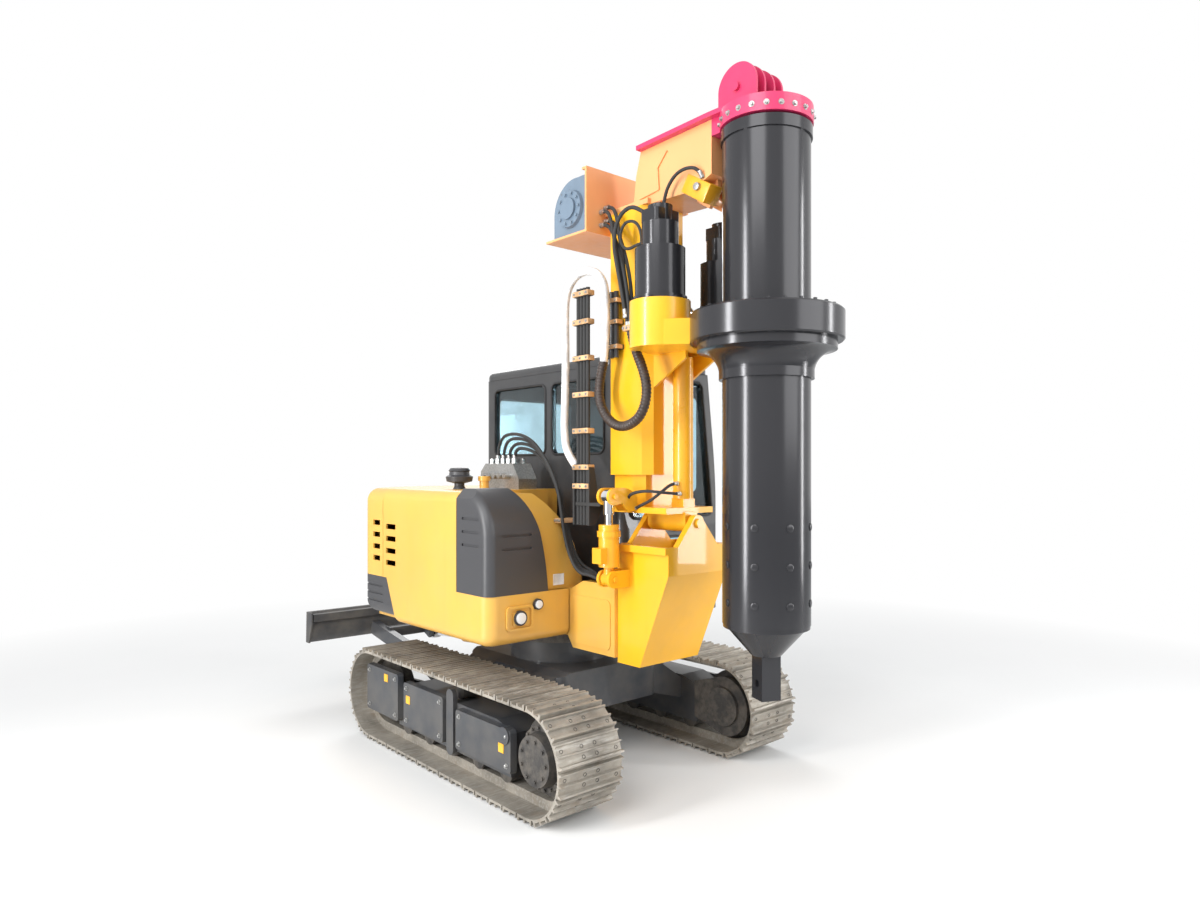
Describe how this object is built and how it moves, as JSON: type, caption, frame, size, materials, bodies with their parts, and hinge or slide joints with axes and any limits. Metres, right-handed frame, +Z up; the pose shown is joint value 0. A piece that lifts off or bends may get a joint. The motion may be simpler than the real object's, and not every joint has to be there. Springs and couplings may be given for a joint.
{
  "type": "rotary drilling rig",
  "caption": "Compact tracked rotary drilling rig: slewing upper structure with cab, tilting mast, climbing rotary drive and telescoping kelly bar.",
  "frame": {"origin": "on the ground, under the slewing axis", "axes": "+Z up, the machine's front is -Y, its left side is +X"},
  "size_m": [1.98, 4.3259, 4.0601],
  "materials": {
    "body_yellow": "satin",
    "mast_yellow": "satin",
    "head_orange": "satin",
    "head_pink": "satin",
    "gloss_black": "gloss",
    "cover_black": "satin",
    "frame_charcoal": "matte",
    "cast_dark": "matte",
    "shoe_steel": "worn",
    "blade_charcoal": "satin",
    "cylinder_yellow": "satin",
    "rod_chrome": "polished",
    "cab_dark": "satin",
    "window_glass": "clear",
    "seat_fabric": "woven",
    "console_plastic": "matte",
    "engine_grey": "matte",
    "valve_steel": "satin",
    "hose_rubber": "matte",
    "winch_blue": "satin"
  },
  "bodies": {
    "undercarriage": {"carbody": "frame_charcoal", "track_frames": "frame_charcoal", "track_wheels": "cast_dark", "tracks": "shoe_steel", "final_drives": "cast_dark"},
    "blade": {"dozer_blade": "blade_charcoal", "blade_arms": "frame_charcoal"},
    "blade_barrel": {"blade_cylinder_barrel": "cylinder_yellow"},
    "blade_rod": {"blade_cylinder_rod": "rod_chrome"},
    "upper": {"slew_ring": "cast_dark", "deck": "body_yellow", "counterweight": "cover_black", "hood": "body_yellow", "side_skirt": "body_yellow", "front_cover": "cover_black", "fuel_tank": "body_yellow", "cab_shell": "cab_dark", "cab_top": "cab_dark", "cab_glass": "window_glass", "cab_seat": "seat_fabric", "cab_controls": "console_plastic", "engine_block": "engine_grey", "pre_cleaner": "cover_black", "valve_block": "valve_steel", "mast_base": "mast_yellow"},
    "door": {"cab_door": "cab_dark", "door_glass": "window_glass"},
    "bonnet": {"rear_bonnet": "body_yellow"},
    "mast": {"mast_column": "mast_yellow", "feed_barrel": "cylinder_yellow", "hose_ladder": "hose_rubber"},
    "tilt_cylinder_barrel": {"tilt_barrel": "cylinder_yellow"},
    "tilt_cylinder_rod": {"tilt_rod": "rod_chrome"},
    "sledge": {"sleeve": "mast_yellow", "feed_rod": "rod_chrome", "gear_housing": "gloss_black", "drive_case": "mast_yellow", "rotary_motors": "gloss_black", "head_frame": "head_orange", "sheave_block": "head_pink", "winch_frame": "head_orange", "winch_sides": "winch_blue", "hose_rack": "frame_charcoal"},
    "winch": {"winch_drum": "winch_blue"},
    "sheave": {"rope_sheave": "cast_dark"},
    "kelly_1": {"kelly_tube_1": "gloss_black"},
    "kelly_2": {"kelly_tube_2": "gloss_black"},
    "kelly_3": {"kelly_tube_3": "gloss_black"},
    "kelly_4": {"kelly_bar": "gloss_black"}
  },
  "joints": [
    {"name": "blade_lift", "type": "hinge", "parent": "undercarriage", "child": "blade", "pos_m": [0, 1.03, 0.36], "axis": [1, 0, 0], "range_deg": [-34, 4]},
    {"name": "blade_barrel_swing", "type": "hinge", "parent": "undercarriage", "child": "blade_barrel", "pos_m": [0, 0.63, 0.588], "axis": [1, 0, 0], "range_deg": [-24, 6]},
    {"name": "blade_rod_slide", "type": "slide", "parent": "blade_barrel", "child": "blade_rod", "axis": [0, 0.997, -0.0775], "range_m": [-0.02, 0.09]},
    {"name": "slew", "type": "hinge", "parent": "undercarriage", "child": "upper", "pos_m": [0, 0, 0.755], "axis": [0, 0, 1], "continuous": true},
    {"name": "door_swing", "type": "hinge", "parent": "upper", "child": "door", "pos_m": [0.962, 0.392, 1.735], "axis": [0, 0, 1], "range_deg": [0, 165]},
    {"name": "bonnet_swing", "type": "hinge", "parent": "upper", "child": "bonnet", "pos_m": [0.878, 1, 1.4], "axis": [0, 0, -1], "range_deg": [0, 75]},
    {"name": "mast_tilt", "type": "hinge", "parent": "upper", "child": "mast", "pos_m": [0, -1.06, 1.568], "axis": [0, 1, 0], "range_deg": [-4, 4]},
    {"name": "tilt_barrel_swing", "type": "hinge", "parent": "upper", "child": "tilt_cylinder_barrel", "pos_m": [-0.37, -0.905, 1.243], "axis": [0, 1, 0], "range_deg": [-3, 3]},
    {"name": "tilt_rod_slide", "type": "slide", "parent": "tilt_cylinder_barrel", "child": "tilt_cylinder_rod", "axis": [0, 0, 1], "range_m": [-0.03, 0.03]},
    {"name": "feed", "type": "slide", "parent": "mast", "child": "sledge", "axis": [0, 0, 1], "range_m": [-0.1, 0.6]},
    {"name": "winch_turn", "type": "hinge", "parent": "sledge", "child": "winch", "pos_m": [0, -0.45, 3.525], "axis": [1, 0, 0], "continuous": true},
    {"name": "sheave_turn", "type": "hinge", "parent": "sledge", "child": "sheave", "pos_m": [0, -1.65, 3.93], "axis": [1, 0, 0], "continuous": true},
    {"name": "kelly_turn", "type": "hinge", "parent": "sledge", "child": "kelly_1", "pos_m": [0, -1.755, 2.6], "axis": [0, 0, 1], "continuous": true},
    {"name": "kelly_reach", "type": "slide", "parent": "kelly_1", "child": "kelly_2", "axis": [0, 0, 1], "range_m": [-2, 0]},
    {"name": "kelly_reach_3", "type": "slide", "parent": "kelly_2", "child": "kelly_3", "axis": [0, 0, 1], "range_m": [-2, 0]},
    {"name": "kelly_reach_4", "type": "slide", "parent": "kelly_3", "child": "kelly_4", "axis": [0, 0, 1], "range_m": [-2, 0]}
  ],
  "couplings": [
    {"joint": "blade_barrel_swing", "follows": "blade_lift", "ratio": 0.6116},
    {"joint": "blade_rod_slide", "follows": "blade_lift", "m_per_rad": -0.13},
    {"joint": "tilt_barrel_swing", "follows": "mast_tilt", "ratio": 0.3243},
    {"joint": "tilt_rod_slide", "follows": "mast_tilt", "m_per_rad": 0.37},
    {"joint": "kelly_reach_3", "follows": "kelly_reach", "ratio": 1},
    {"joint": "kelly_reach_4", "follows": "kelly_reach", "ratio": 1}
  ]
}
